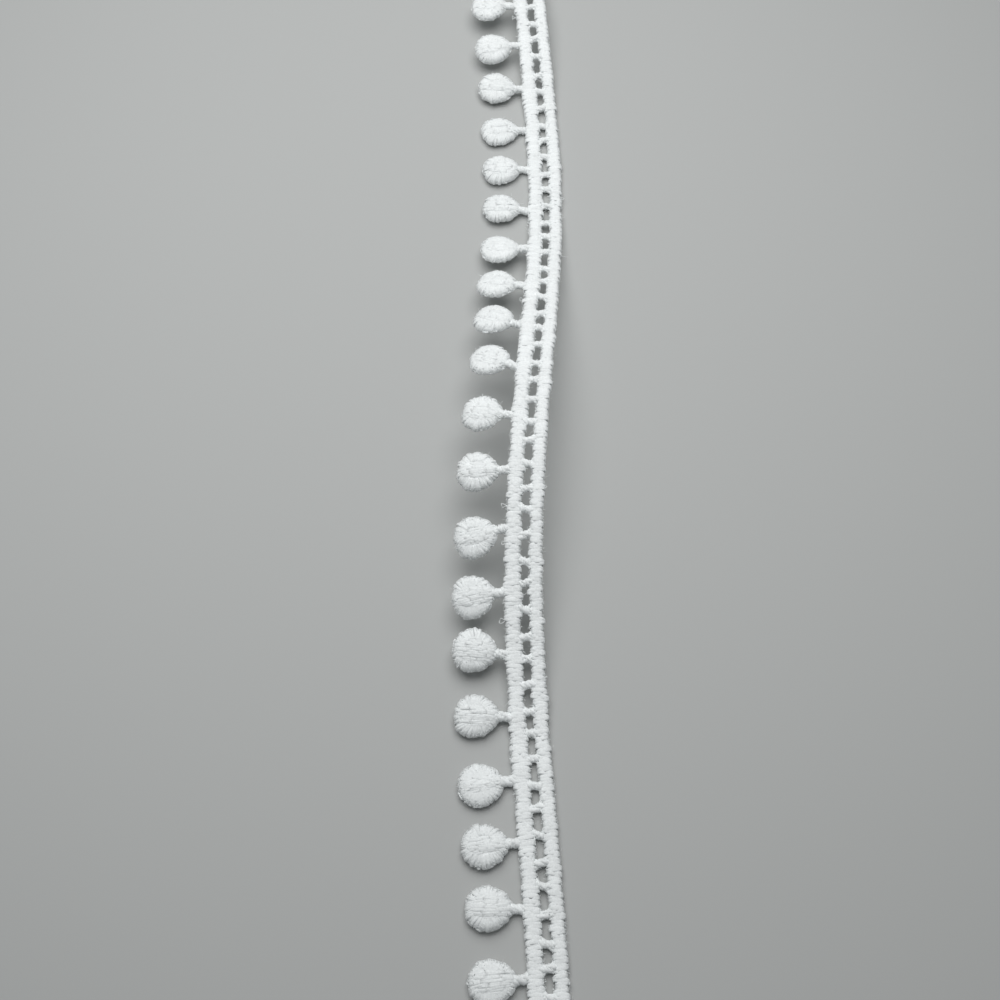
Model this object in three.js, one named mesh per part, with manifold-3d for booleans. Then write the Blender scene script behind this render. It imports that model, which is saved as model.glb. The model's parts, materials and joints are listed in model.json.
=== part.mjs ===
// A length of white embroidered lace trim, laid out on a flat surface. Two satin-stitched bars with
// rungs between them make a ladder heading, and a row of padded dots stands off the inner bar on short
// necks. It is stitched in one piece, so it is one solid.
// Millimetres. +Z is up and the surface is at Z = 0, +Y runs along the trim, and the dots lie towards -X.
import * as THREE from 'three';
import { mergeVertices } from 'three/addons/utils/BufferGeometryUtils.js';
import Module from 'manifold-3d';

// Driving dimensions of the stitched pattern
const DOT_COUNT = 30;
const DOT_PITCH = 10;
const RUNG_PITCH = 4;
const INNER_BAR_WIDTH = 2.45;
const OUTER_BAR_WIDTH = 2.2;
const LADDER_GAP = 1.5;
const BAR_THICKNESS = 1.4;
const RUNG_WIDTH = 1.05;
const RUNG_THICKNESS = 0.9;
const NECK_LENGTH = 1.6;
const NECK_WIDTH = 1.25;
const NECK_THICKNESS = 0.95;
const DOT_ACROSS = 7.1;
const DOT_ALONG = 6.8;
const DOT_THICKNESS = 2.3;
const DOT_TAPER = 0.13; // share by which a dot narrows towards its neck
const BAR_SWELL = 0.12; // share by which the inner bar widens where a neck leaves it
const BURY = 0.8; // how far rungs and necks run into what they join

// Where the ladder's middle line lies, so that the trim's box is centred on the origin
const LADDER_X = 4.3;

// How the trim lies: waves to the side over its whole length, and low bows between the flat stretches
const SWAYS = [
  { reach: 1.85, wave: 156, nearest: -20 },
  { reach: 0.65, wave: 300, nearest: -75 },
];
const BOWS = [
  { middle: -112, half: 26, rise: 2.5 },
  { middle: 4, half: 56, rise: 9 },
  { middle: 104, half: 28, rise: 3 },
];
const ROLL_PER_RISE = 0.4; // degrees that the trim tips towards its dots for each mm of rise
const DROOP_PER_RISE = 1; // degrees that a dot hangs down on its neck for each mm of rise

// Dots that are swung well to one side, in degrees, positive towards -Y
const SWUNG_DOTS = [
  { dot: 9, swing: 7 },
  { dot: 11, swing: -9 },
  { dot: 12, swing: 9 },
  { dot: 13, swing: 15 },
  { dot: 16, swing: -20 },
  { dot: 17, swing: -15 },
];

// What differs from one rung or dot to the next: reach in mm or degrees, turn in radians for each one
const RUNG_SHIFT = { reach: 0.3, turn: 2.1 };
const RUNG_SLANT = { reach: 0.35, turn: 2.9 };
const DOT_SWING = { reach: 5, turn: 2.4 };

// Half of a bar's section, flat below and rounded above, in half widths and thicknesses
const BAR_SECTION = [
  { out: 0.84, up: 0 },
  { out: 1, up: 0.42 },
  { out: 0.5, up: 1 },
];
// A dot's profile from the middle of its foot to its crown, in radii and thicknesses
const DOT_PROFILE = [
  { out: 0, up: 0 },
  { out: 0.74, up: 0 },
  { out: 1, up: 0.42 },
  { out: 0.72, up: 0.86 },
  { out: 0, up: 1 },
];

// White polyester thread, matte
const THREAD = { color: 0xf3f7f7, roughness: 0.6, metalness: 0 };

// How finely the solid is faceted
const BAR_STEP = 5;
const DOT_SIDES = 14;
const CORD_SIDES = 4;
const WELD = 1e-4;

const LENGTH = DOT_COUNT * DOT_PITCH;
const RUNG_COUNT = LENGTH / RUNG_PITCH;
const INNER_BAR = -(LADDER_GAP + INNER_BAR_WIDTH) / 2;
const OUTER_BAR = (LADDER_GAP + OUTER_BAR_WIDTH) / 2;
const NECK_ROOT = -LADDER_GAP / 2 - INNER_BAR_WIDTH;
const CORD_HEIGHT = BAR_THICKNESS / 2;
const radians = THREE.MathUtils.degToRad;

const wasm = await Module();
wasm.setup();

// Rise of the middle line: each bow is one smooth hump, rise * cos^2, and 0 outside its two ends.
function riseAt(along) {
  return BOWS.reduce((sum, bow) => {
    const phase = THREE.MathUtils.clamp((along - bow.middle) / bow.half, -1, 1);
    return sum + bow.rise * Math.cos((phase * Math.PI) / 2) ** 2;
  }, 0);
}

function slopeAt(along) {
  return BOWS.reduce((sum, bow) => {
    const phase = THREE.MathUtils.clamp((along - bow.middle) / bow.half, -1, 1);
    return sum - ((bow.rise * Math.PI) / 2 / bow.half) * Math.sin(phase * Math.PI);
  }, 0);
}

function swayAt(along) {
  return SWAYS.reduce(
    (sum, sway) => sum - sway.reach * Math.cos((2 * Math.PI * (along - sway.nearest)) / sway.wave),
    LADDER_X,
  );
}

function leanAt(along) {
  return SWAYS.reduce((sum, sway) => {
    const turn = (2 * Math.PI) / sway.wave;
    return sum + sway.reach * turn * Math.sin(turn * (along - sway.nearest));
  }, 0);
}

// Carries a point of the flat pattern (x across, y along, z up) to where the trim lies, on the surface
// or above it.
function lay(point) {
  const rise = riseAt(point.y);
  const forward = new THREE.Vector3(leanAt(point.y), 1, slopeAt(point.y)).normalize();
  const side = new THREE.Vector3().crossVectors(forward, new THREE.Vector3(0, 0, 1)).normalize();
  side.applyAxisAngle(forward, -radians(ROLL_PER_RISE * rise));
  const up = new THREE.Vector3().crossVectors(side, forward);
  const place = new THREE.Vector3(swayAt(point.y), point.y, rise)
    .addScaledVector(side, point.x)
    .addScaledVector(up, point.z);
  place.z = Math.max(place.z, 0);
  return place;
}

// Moves every vertex of a geometry through a function of its place.
function mapped(geometry, move) {
  const places = geometry.getAttribute('position');
  for (let i = 0; i < places.count; i += 1) {
    const place = move(new THREE.Vector3().fromBufferAttribute(places, i));
    places.setXYZ(i, place.x, place.y, place.z);
  }
  return geometry;
}

// The closed solid of a geometry, with shared vertices merged and collapsed triangles dropped.
function solidOf(geometry) {
  geometry.deleteAttribute('normal');
  geometry.deleteAttribute('uv');
  const welded = mergeVertices(geometry, WELD);
  const corners = welded.getIndex().array;
  const kept = [];
  for (let i = 0; i < corners.length; i += 3) {
    const [a, b, c] = corners.subarray(i, i + 3);
    if (a !== b && b !== c && c !== a) kept.push(a, b, c);
  }
  return new wasm.Manifold(
    new wasm.Mesh({
      numProp: 3,
      vertProperties: new Float32Array(welded.getAttribute('position').array),
      triVerts: new Uint32Array(kept),
    }),
  );
}

// Share by which a bar is wider at a place, from the rounded swellings at the necks.
function swellAt(along) {
  const fromNeck = (along / DOT_PITCH + DOT_COUNT / 2 - 0.5) * Math.PI;
  return Math.cos(fromNeck) ** 4;
}

// A bar: a flat-bottomed, round-backed section carried along the whole length.
function bar(middle, width, swell) {
  const half = width / 2;
  const right = BAR_SECTION.map((row) => new THREE.Vector2(row.out * half, row.up * BAR_THICKNESS));
  const left = right.map((corner) => new THREE.Vector2(-corner.x, corner.y)).reverse();
  const section = new THREE.Shape([...right, ...left]);
  const run = new THREE.ExtrudeGeometry(section, {
    depth: LENGTH,
    steps: LENGTH / BAR_STEP,
    bevelEnabled: false,
  });
  run.rotateX(Math.PI / 2);
  run.translate(0, LENGTH / 2, 0);
  return mapped(run, (place) => {
    place.x = middle + place.x * (1 + swell * swellAt(place.y));
    return lay(place);
  });
}

function uneven({ reach, turn }, index) {
  return reach * Math.sin(turn * index);
}

// A rung: a short stitched cord across the gap, a little out of square, each in its own way.
function rung(index) {
  const along = (index + 0.5) * RUNG_PITCH - LENGTH / 2 + uneven(RUNG_SHIFT, index);
  const slant = uneven(RUNG_SLANT, index);
  const reach = LADDER_GAP / 2 + BURY;
  const cord = new THREE.CylinderGeometry(0.5, 0.5, 2 * reach, CORD_SIDES, 1);
  cord.rotateZ(Math.PI / 2);
  cord.scale(1, RUNG_THICKNESS, RUNG_WIDTH);
  cord.rotateX(Math.PI / 2);
  return mapped(cord, (place) => {
    place.y += along + (slant * place.x) / reach;
    place.z += CORD_HEIGHT;
    return lay(place);
  });
}

function swingOf(index) {
  const swung = SWUNG_DOTS.find((row) => row.dot === index);
  return radians(swung ? swung.swing : uneven(DOT_SWING, index));
}

// Carries a point of a dot's own frame to where the trim lies. There x runs outwards from the neck's root
// and z up; the dot hangs down about the root, then swings about it.
function layDot(index, point) {
  const along = (index + 0.5) * DOT_PITCH - LENGTH / 2;
  const droop = radians(DROOP_PER_RISE * riseAt(along));
  point.z -= CORD_HEIGHT;
  point.applyAxisAngle(new THREE.Vector3(0, 1, 0), droop);
  point.applyAxisAngle(new THREE.Vector3(0, 0, 1), Math.PI + swingOf(index));
  return lay(point.add(new THREE.Vector3(NECK_ROOT, along, CORD_HEIGHT)));
}

// A neck: a short cord from inside the inner bar to inside its dot.
function neck(index) {
  const cord = new THREE.CylinderGeometry(0.5, 0.5, NECK_LENGTH + 2 * BURY, CORD_SIDES, 1);
  cord.rotateZ(Math.PI / 2);
  cord.scale(1, NECK_THICKNESS, NECK_WIDTH);
  cord.rotateX(Math.PI / 2);
  cord.translate(NECK_LENGTH / 2, 0, CORD_HEIGHT);
  return mapped(cord, (place) => layDot(index, place));
}

// A dot: a padded dome on a flat foot, nearly round and a little narrower towards its neck.
function dot(index) {
  const profile = DOT_PROFILE.map((row) => new THREE.Vector2(row.out, row.up));
  const dome = new THREE.LatheGeometry(profile, DOT_SIDES);
  dome.rotateX(Math.PI / 2);
  return mapped(dome, (place) => {
    place.y *= (DOT_ALONG / 2) * (1 + DOT_TAPER * place.x);
    place.x = NECK_LENGTH + (DOT_ACROSS / 2) * (1 + place.x);
    place.z *= DOT_THICKNESS;
    return layDot(index, place);
  });
}

function laceTrim() {
  const pieces = [bar(INNER_BAR, INNER_BAR_WIDTH, BAR_SWELL), bar(OUTER_BAR, OUTER_BAR_WIDTH, 0)];
  for (let i = 0; i < RUNG_COUNT; i += 1) pieces.push(rung(i));
  for (let i = 0; i < DOT_COUNT; i += 1) pieces.push(neck(i), dot(i));
  const joined = pieces.map(solidOf).reduce((whole, piece) => whole.add(piece)).getMesh();
  const geometry = new THREE.BufferGeometry();
  geometry.setAttribute('position', new THREE.BufferAttribute(joined.vertProperties, joined.numProp));
  geometry.setIndex(new THREE.BufferAttribute(joined.triVerts, 1));
  geometry.computeVertexNormals();
  const trim = new THREE.Mesh(geometry, new THREE.MeshStandardMaterial(THREAD));
  trim.name = 'lace_trim';
  return trim;
}

const object = new THREE.Group();
object.add(laceTrim());

export default object;
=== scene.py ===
"""A length of white embroidered lace trim, made thread by thread.

Two satin-stitched bars with rungs between them make a ladder heading, and padded dots stand off the inner
bar on short necks. Every thread is a closed tube in the flat pattern, where x runs across the trim, y along
it and z up from the surface, and lay() carries it to where the trim lies. All lengths are in metres.
"""

import json
import math
from collections import namedtuple

import bpy
import numpy as np
from bpy.props import FloatProperty, FloatVectorProperty, IntProperty, PointerProperty
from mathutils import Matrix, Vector


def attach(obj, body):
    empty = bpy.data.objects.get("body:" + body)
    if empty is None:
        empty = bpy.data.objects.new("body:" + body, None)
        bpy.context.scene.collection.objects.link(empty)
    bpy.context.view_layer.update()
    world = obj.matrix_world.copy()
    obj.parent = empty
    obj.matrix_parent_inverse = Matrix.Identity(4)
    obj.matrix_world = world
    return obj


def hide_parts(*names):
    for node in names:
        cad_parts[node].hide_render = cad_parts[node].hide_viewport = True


bl_info = {
    "name": "Lace trim",
    "version": (1, 0, 0),
    "blender": (4, 5, 0),
    "location": "View3D > Sidebar > Lace trim",
    "description": "Stitches a dotted lace trim thread by thread",
    "category": "Add Mesh",
}

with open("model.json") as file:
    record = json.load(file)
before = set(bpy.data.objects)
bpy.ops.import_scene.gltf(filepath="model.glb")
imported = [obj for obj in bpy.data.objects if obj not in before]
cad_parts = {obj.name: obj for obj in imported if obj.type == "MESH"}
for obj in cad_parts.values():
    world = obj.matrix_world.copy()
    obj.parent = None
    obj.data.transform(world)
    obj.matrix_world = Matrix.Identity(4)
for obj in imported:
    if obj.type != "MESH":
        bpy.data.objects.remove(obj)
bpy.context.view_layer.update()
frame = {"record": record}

MM = 0.001
FULL_TURN = 2 * np.pi
UP = np.array([0.0, 0.0, 1.0])
NODE = "lace_trim"
BODY = "root"
THREAD = "white_thread"
UV_MAP = "thread"
TONE = "tone"
RECORD_COLOUR = frame["record"]["materials"][0]["base_color"]
SEEDS = {"inner": 0, "outer": 1, "cords": 11, "dots": 21, "fibres": 31, "lumps": 41}

# How the trim lies: waves to the side over its whole length, and low bows between the flat stretches
LADDER_X = 4.3 * MM
SWAYS = [
    {"reach": 1.85 * MM, "wave": 156 * MM, "nearest": -20 * MM},
    {"reach": 0.65 * MM, "wave": 300 * MM, "nearest": -75 * MM},
]
BOWS = [
    {"middle": -112 * MM, "half": 26 * MM, "rise": 2.5 * MM},
    {"middle": 4 * MM, "half": 56 * MM, "rise": 9 * MM},
    {"middle": 104 * MM, "half": 28 * MM, "rise": 3 * MM},
]
ROLL_PER_RISE = math.radians(0.4) / MM  # how far the trim tips towards its dots
DROOP_PER_RISE = math.radians(1) / MM  # how far a dot hangs down on its neck

# What differs from one rung or dot to the next: reach, and turn in radians for each one
RUNG_SHIFT = {"reach": 0.3 * MM, "turn": 2.1}
RUNG_SLANT = {"reach": 0.35 * MM, "turn": 2.9}
RUNG_RISE = {"reach": 0.06 * MM, "turn": 1.7}
NECK_BEND = {"reach": 0.12 * MM, "turn": 2.3}
DOT_SWING = {"reach": math.radians(5), "turn": 2.4}
DOT_HEIGHT = {"reach": 0.045, "turn": 1.9}  # share of the thickness
DOT_SKEW = {"reach": 0.3, "turn": 2.7}  # slant of the rim stitches, in radians at a dot's middle
CROWN_BREADTH = {"reach": 0.12, "turn": 1.3}  # half the breadth of a dot's crown, in radii
SWUNG_DOTS = {9: 7, 11: -9, 12: 9, 13: 15, 16: -20, 17: -15}  # dot: degrees towards -Y


def length_field(name, description, default):
    """A length that can be changed."""
    return FloatProperty(name=name, description=description, default=default, unit="LENGTH")


class LaceSizes(bpy.types.PropertyGroup):
    """Sizes of the stitched pattern."""

    dot_count: IntProperty(name="Dots", description="Dots along the trim", default=30, min=1)
    dot_pitch: length_field("Dot pitch", "From one dot to the next", 10 * MM)
    rung_pitch: length_field("Rung pitch", "From one rung to the next", 4 * MM)
    inner_bar_width: length_field("Inner bar", "Width of the bar with the dots", 2.55 * MM)
    outer_bar_width: length_field("Outer bar", "Width of the plain bar", 2.3 * MM)
    ladder_gap: length_field("Gap", "Open width between the bars", 1.3 * MM)
    bar_thickness: length_field("Bar thickness", "Height of the bars", 1.4 * MM)
    neck_length: length_field("Neck", "From the inner bar to a dot", 1.6 * MM)
    dot_across: length_field("Dot across", "A dot's size across the trim", 7.1 * MM)
    dot_along: length_field("Dot along", "A dot's size along the trim", 6.8 * MM)
    dot_thickness: length_field("Dot thickness", "Height of a dot's crown", 2.3 * MM)
    stitch_pitch: length_field("Stitch pitch", "From one bar stitch to the next", 0.52 * MM)
    dot_stitches: IntProperty(name="Dot stitches", description="Stitches round a dot", default=54, min=8)

    @property
    def length(self):
        return self.dot_count * self.dot_pitch

    @property
    def rung_count(self):
        return round(self.length / self.rung_pitch)

    @property
    def cord_height(self):
        return self.bar_thickness / 2

    @property
    def neck_root(self):
        return -self.ladder_gap / 2 - self.inner_bar_width

    @property
    def dot_middle(self):
        return DOT_MIDDLE * self.dot_thickness


class LaceThread(bpy.types.PropertyGroup):
    """Looks of the thread."""

    colour: FloatVectorProperty(
        name="Colour", description="Colour of the thread", default=RECORD_COLOUR, subtype="COLOR"
    )
    roughness: FloatProperty(
        name="Roughness", description="Roughness of the thread", default=0.62, subtype="FACTOR"
    )
    sheen: FloatProperty(
        name="Sheen", description="Soft light from the fibres' ends", default=0.5, subtype="FACTOR"
    )


class LaceStage(bpy.types.PropertyGroup):
    """Floor, lights and camera."""

    floor_colour: FloatVectorProperty(
        name="Floor", description="Colour of the floor", default=(0.462, 0.472, 0.465), subtype="COLOR"
    )
    key_power: FloatProperty(
        name="Key light", description="Power of the large soft light", default=0.78, unit="POWER"
    )
    fill: FloatProperty(name="Fill", description="Strength of the light from all round", default=0.19)
    elevation: FloatProperty(
        name="Elevation",
        description="Camera angle above the floor",
        default=math.radians(62),
        subtype="ANGLE",
    )
    distance: length_field("Distance", "From the camera to its target", 260 * MM)
    view_angle: FloatProperty(
        name="View angle", description="Angle across the picture", default=math.radians(35.6), subtype="ANGLE"
    )
    target: FloatVectorProperty(
        name="Target",
        description="Point at the middle of the picture",
        default=(-1.85 * MM, -8 * MM, 4 * MM),
        subtype="TRANSLATION",
    )


# Numbers and vectors


def unit(vectors):
    """Vectors scaled to length 1."""
    return vectors / np.linalg.norm(vectors, axis=-1, keepdims=True)


def stacked(x, y, z):
    """Vectors from their coordinates, which are brought to one shape."""
    return np.stack(np.broadcast_arrays(x, y, z), axis=-1)


def ways(angle):
    """Unit vectors in the plane, at angles from its first axis."""
    return np.stack([np.cos(angle), np.sin(angle)], axis=-1)


def signed_power(value, power):
    """A value's size raised to a power, with its sign kept. Powers under 1 square off a round section."""
    return np.sign(value) * np.abs(value) ** power


def between(first, last, share):
    """The value at a share of the way from first to last."""
    return first + (last - first) * share


def uneven(rule, count):
    """reach * sin(turn * index): the same small differences each time, with no two neighbours alike."""
    return rule["reach"] * np.sin(rule["turn"] * np.arange(count))


def wander(rule, along, rng):
    """A smooth uneven length along the trim: reach times the mean of sine waves with random starts."""
    waves = [np.sin(FULL_TURN * (along / wave + rng.random())) for wave in rule["waves"]]
    return rule["reach"] * np.mean(waves, axis=0)


def now_and_then(rule, count, rng):
    """A random length within the rule's limits for a share of the stitches, and 0 for the others."""
    return np.where(rng.random(count) < rule["share"], rng.uniform(*rule["limits"], count), 0)


# Laying out


def bow_at(along):
    """Rise and slope of the middle line: each bow is one hump, rise * cos^2, and 0 outside its two ends."""
    rise = np.zeros_like(along)
    slope = np.zeros_like(along)
    for bow in BOWS:
        phase = np.clip((along - bow["middle"]) / bow["half"], -1, 1) * np.pi / 2
        rise += bow["rise"] * np.cos(phase) ** 2
        slope -= bow["rise"] * np.pi / 2 / bow["half"] * np.sin(2 * phase)
    return rise, slope


def sway_at(along):
    """Place of the middle line to the side, and its lean: LADDER_X less the sum of the cosine waves."""
    aside = np.full_like(along, LADDER_X)
    lean = np.zeros_like(along)
    for sway in SWAYS:
        turn = FULL_TURN / sway["wave"]
        phase = turn * (along - sway["nearest"])
        aside -= sway["reach"] * np.cos(phase)
        lean += sway["reach"] * turn * np.sin(phase)
    return aside, lean


def lay(points):
    """Carries points of the flat pattern to where the trim lies, on the surface or above it.

    place = middle line + x * side + z * up, where side and up stand square to the middle line and are
    rolled about it towards the dots by an angle that grows with the rise.
    """
    across, along, height = np.moveaxis(points, -1, 0)
    rise, slope = bow_at(along)
    aside, lean = sway_at(along)
    forward = unit(stacked(lean, 1.0, slope))
    level = unit(np.cross(forward, UP))
    square = np.cross(level, forward)
    roll = (ROLL_PER_RISE * rise)[..., None]
    side = level * np.cos(roll) + square * np.sin(roll)
    up = square * np.cos(roll) - level * np.sin(roll)
    places = stacked(aside, along, rise) + across[..., None] * side + height[..., None] * up
    places[..., 2] = np.maximum(places[..., 2], 0)
    return places


def lay_dots(points, lace):
    """Carries points of the dots' own frames to where the trim lies; the first axis counts the dots.

    There x runs outwards from the neck's root and z up. A dot hangs down about the root by its droop,
    then swings about it, and lay() does the rest.
    """
    each = (lace.dot_count,) + (1,) * (points.ndim - 2)
    along = ((np.arange(lace.dot_count) + 0.5) * lace.dot_pitch - lace.length / 2).reshape(each)
    droop = DROOP_PER_RISE * bow_at(along)[0]
    swing = uneven(DOT_SWING, lace.dot_count)
    for dot, degrees in SWUNG_DOTS.items():
        swing[dot] = math.radians(degrees)
    swing = swing.reshape(each)
    out, aside, height = np.moveaxis(points, -1, 0)
    height = height - lace.cord_height
    hung = out * np.cos(droop) + height * np.sin(droop)
    height = height * np.cos(droop) - out * np.sin(droop)
    x = lace.neck_root - hung * np.cos(swing) + aside * np.sin(swing)
    y = along - hung * np.sin(swing) - aside * np.cos(swing)
    return lay(stacked(x, y, height + lace.cord_height))


# Threads


def section_axes(path, outward):
    """Both axes of the sections along paths: across, and the normal, which is outward made square to them."""
    tangent = unit(np.gradient(path, axis=-2))
    across = unit(np.cross(outward, tangent))
    return across, np.cross(tangent, across)


def tubes(path, outward, wide, high, sides):
    """Rings of threads with an oval section, carried along paths of shape (..., stations, 3).

    A ring's points are path + wide * cos(a) * across + high * sin(a) * normal. Returns an array of shape
    (..., stations, sides, 3).
    """
    across, normal = section_axes(path, outward)
    angle = np.arange(sides) * FULL_TURN / sides
    spread = across[..., None, :] * np.cos(angle)[:, None] * np.asarray(wide)[..., None, None]
    lift = normal[..., None, :] * np.sin(angle)[:, None] * np.asarray(high)[..., None, None]
    return path[..., None, :] + spread + lift


def ring_faces(count, stations, sides):
    """Thread, station and side of each face corner of closed tubes: quads between rings, then end caps."""
    thread, station, side = np.meshgrid(
        np.arange(count), np.arange(stations - 1), np.arange(sides), indexing="ij"
    )
    quads = (
        np.stack([thread] * 4, axis=-1),
        np.stack([station, station, station + 1, station + 1], axis=-1),
        np.stack([side, side + 1, side + 1, side], axis=-1),
    )
    thread, end, side = np.meshgrid(np.arange(count), np.arange(2), np.arange(sides), indexing="ij")
    side = np.where(end == 0, sides - 1 - side, side)
    caps = (thread, end * (stations - 1), side)
    return quads, caps


def thread_mesh(name, bundles):
    """One mesh of closed threads from bundles of rings and tones.

    A bundle holds rings of shape (threads, stations, sides, 3) and a tone for each thread. The mesh gets
    a UV map, with u along the thread in millimetres and v once round it, and the tone as an attribute.
    """
    points, tones, corners, sizes, maps = [], [], [], [], []
    first = 0
    for rings, tone in bundles:
        count, stations, sides = rings.shape[:3]
        middle = rings.mean(axis=2)
        steps = np.linalg.norm(np.diff(middle, axis=1), axis=-1)
        run = np.concatenate([np.zeros((count, 1)), np.cumsum(steps, axis=1)], axis=1) / MM
        for thread, station, side in ring_faces(count, stations, sides):
            index = first + (thread * stations + station) * sides + side % sides
            corners.append(index.ravel())
            sizes.append(np.full(index[..., 0].size, index.shape[-1]))
            maps.append(np.stack([run[thread, station], side / sides], axis=-1).reshape(-1, 2))
        points.append(rings.reshape(-1, 3))
        tones.append(np.repeat(tone, stations * sides))
        first += count * stations * sides
    points, corners, sizes = np.concatenate(points), np.concatenate(corners), np.concatenate(sizes)
    mesh = bpy.data.meshes.new(name)
    mesh.vertices.add(len(points))
    mesh.vertices.foreach_set("co", points.astype(np.float32).ravel())
    mesh.loops.add(len(corners))
    mesh.loops.foreach_set("vertex_index", corners.astype(np.int32))
    mesh.polygons.add(len(sizes))
    mesh.polygons.foreach_set("loop_start", (np.cumsum(sizes) - sizes).astype(np.int32))
    mesh.polygons.foreach_set("loop_total", sizes.astype(np.int32))
    mesh.polygons.foreach_set("use_smooth", np.ones(len(sizes), bool))
    uv = mesh.uv_layers.new(name=UV_MAP)
    uv.data.foreach_set("uv", np.concatenate(maps).astype(np.float32).ravel())
    tone = mesh.attributes.new(TONE, "FLOAT", "POINT")
    tone.data.foreach_set("value", np.concatenate(tones).astype(np.float32))
    mesh.update(calc_edges=True)
    mesh.validate()
    return mesh


def add_piece(context, name, bundles):
    """A new piece of the trim from its bundles of threads. The first one makes the thread's material."""
    piece = bpy.data.objects.new(name, thread_mesh(name, bundles))
    material = bpy.data.materials.get(THREAD) or thread_material(context.scene.lace_thread)
    piece.data.materials.append(material)
    context.scene.collection.objects.link(piece)
    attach(piece, BODY)
    return piece


STITCH_TONE = {"spread": 0.022, "darkest": 0.9, "lightest": 1.06}  # shares of the thread's colour


def stitch_tone(count, rng):
    """Lightness of each stitch, about 1."""
    tone = 1 + STITCH_TONE["spread"] * rng.standard_normal(count)
    return np.clip(tone, STITCH_TONE["darkest"], STITCH_TONE["lightest"])


def bundle(rings, rng=None):
    """Rings of any leading shape as one bundle, all of one tone or each thread of a random one."""
    rings = rings.reshape((-1,) + rings.shape[-3:])
    return rings, np.ones(len(rings)) if rng is None else stitch_tone(len(rings), rng)


# Bars

# The two faces of a bar. arc: degrees from the face's middle to where a stitch ends. square: the power
# that flattens the round section.
BAR_FACES = {
    "top": {"way": 1, "arc": 112, "square": 0.72, "stations": 13, "sides": 6},
    "underside": {"way": -1, "arc": 96, "square": 0.5, "stations": 9, "sides": 5},
}
BAR_THREAD = {"wide": 0.52 * MM, "narrow": 0.26 * MM, "high": 0.08 * MM, "edge": 0.17 * MM}
BAR_TURN = 2.5  # power of the share across, by which a stitch grows narrow and high towards the edges
BAR_PEBBLE = 0.018 * MM  # unevenness along a stitch
ZIGZAG = 0.38  # how far neighbouring stitches close up at a bar's edge: 0 not at all, 1 to one point
BAR_MIDDLE = 0.42  # share of the thickness at which a bar is widest
NECK_SWELL = 0.12  # share by which the inner bar widens where a neck leaves it
NEEDLE_ERROR = {"across": 0.11 * MM, "along": 0.08 * MM, "most": 1.5}  # most: as a multiple of across
NEEDLE_DRIFT = {"reach": 0.05 * MM, "waves": [9 * MM, 4.1 * MM, 23 * MM]}
LONG_STITCH = {"share": 0.09, "limits": [0.1 * MM, 0.28 * MM]}  # how far it reaches past the others
STITCH_LIFT = {"reach": 0.05 * MM, "waves": [3.1 * MM, 7 * MM, 17 * MM]}
TIGHT_STITCH = {"share": 0.03, "limits": [0.01 * MM, 0.03 * MM]}  # how far it lies below the others
# Places where the stitches of a bar bulge, with the reach as a share of its half width
Bulge = namedtuple("Bulge", ["bar", "along", "half", "reach"])
BULGES = [
    Bulge("inner", -27 * MM, 2.4 * MM, 0.16),
    Bulge("inner", -36 * MM, 2.0 * MM, 0.14),
    Bulge("inner", -51 * MM, 2.6 * MM, 0.2),
    Bulge("inner", 21 * MM, 2.2 * MM, 0.1),
    Bulge("inner", 83 * MM, 2.5 * MM, 0.15),
    Bulge("inner", -104 * MM, 2.2 * MM, 0.15),
    Bulge("outer", -42 * MM, 2.2 * MM, 0.16),
    Bulge("outer", 12 * MM, 2.0 * MM, 0.1),
    Bulge("outer", 66 * MM, 2.4 * MM, 0.14),
    Bulge("outer", -96 * MM, 2.0 * MM, 0.14),
]


def bar_sizes(lace):
    """Middle and width of each bar in the flat pattern, and its swell at the necks."""
    inner, outer = lace.inner_bar_width, lace.outer_bar_width
    return {
        "inner": {"middle": -(lace.ladder_gap + inner) / 2, "width": inner, "swell": NECK_SWELL},
        "outer": {"middle": (lace.ladder_gap + outer) / 2, "width": outer, "swell": 0.0},
    }


def bar_half_width(lace, name, along):
    """Half a bar's width at a place: wider by cos^4 humps at the necks and by its own bulges."""
    bar = bar_sizes(lace)[name]
    from_neck = (along / lace.dot_pitch + lace.dot_count / 2 - 0.5) * np.pi
    share = 1 + bar["swell"] * np.cos(from_neck) ** 4
    for bulge in BULGES:
        if bulge.bar == name:
            share = share + bulge.reach * np.exp(-(((along - bulge.along) / bulge.half) ** 2))
    return bar["width"] / 2 * share


def needle_points(lace, rng):
    """Where the needle goes down along a bar, by turns on its two edges, and the stitches' lift and tone."""
    points = round(lace.length / lace.stitch_pitch) + 1
    along = np.linspace(-0.5, 0.5, points) * (lace.length - 2 * BAR_THREAD["wide"])
    most = NEEDLE_ERROR["most"]
    reach = NEEDLE_ERROR["across"] * np.clip(rng.standard_normal(points), -most, most)
    reach += now_and_then(LONG_STITCH, points, rng)
    reach += wander(NEEDLE_DRIFT, along, rng)
    return {
        "along": along + rng.normal(0, NEEDLE_ERROR["along"], points),
        "reach": reach,
        "edge": np.where(np.arange(points) % 2 == 0, -1.0, 1.0),
        "lift": -now_and_then(TIGHT_STITCH, points - 1, rng) + wander(STITCH_LIFT, along[:-1], rng),
        "tone": stitch_tone(points - 1, rng),
    }


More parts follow.
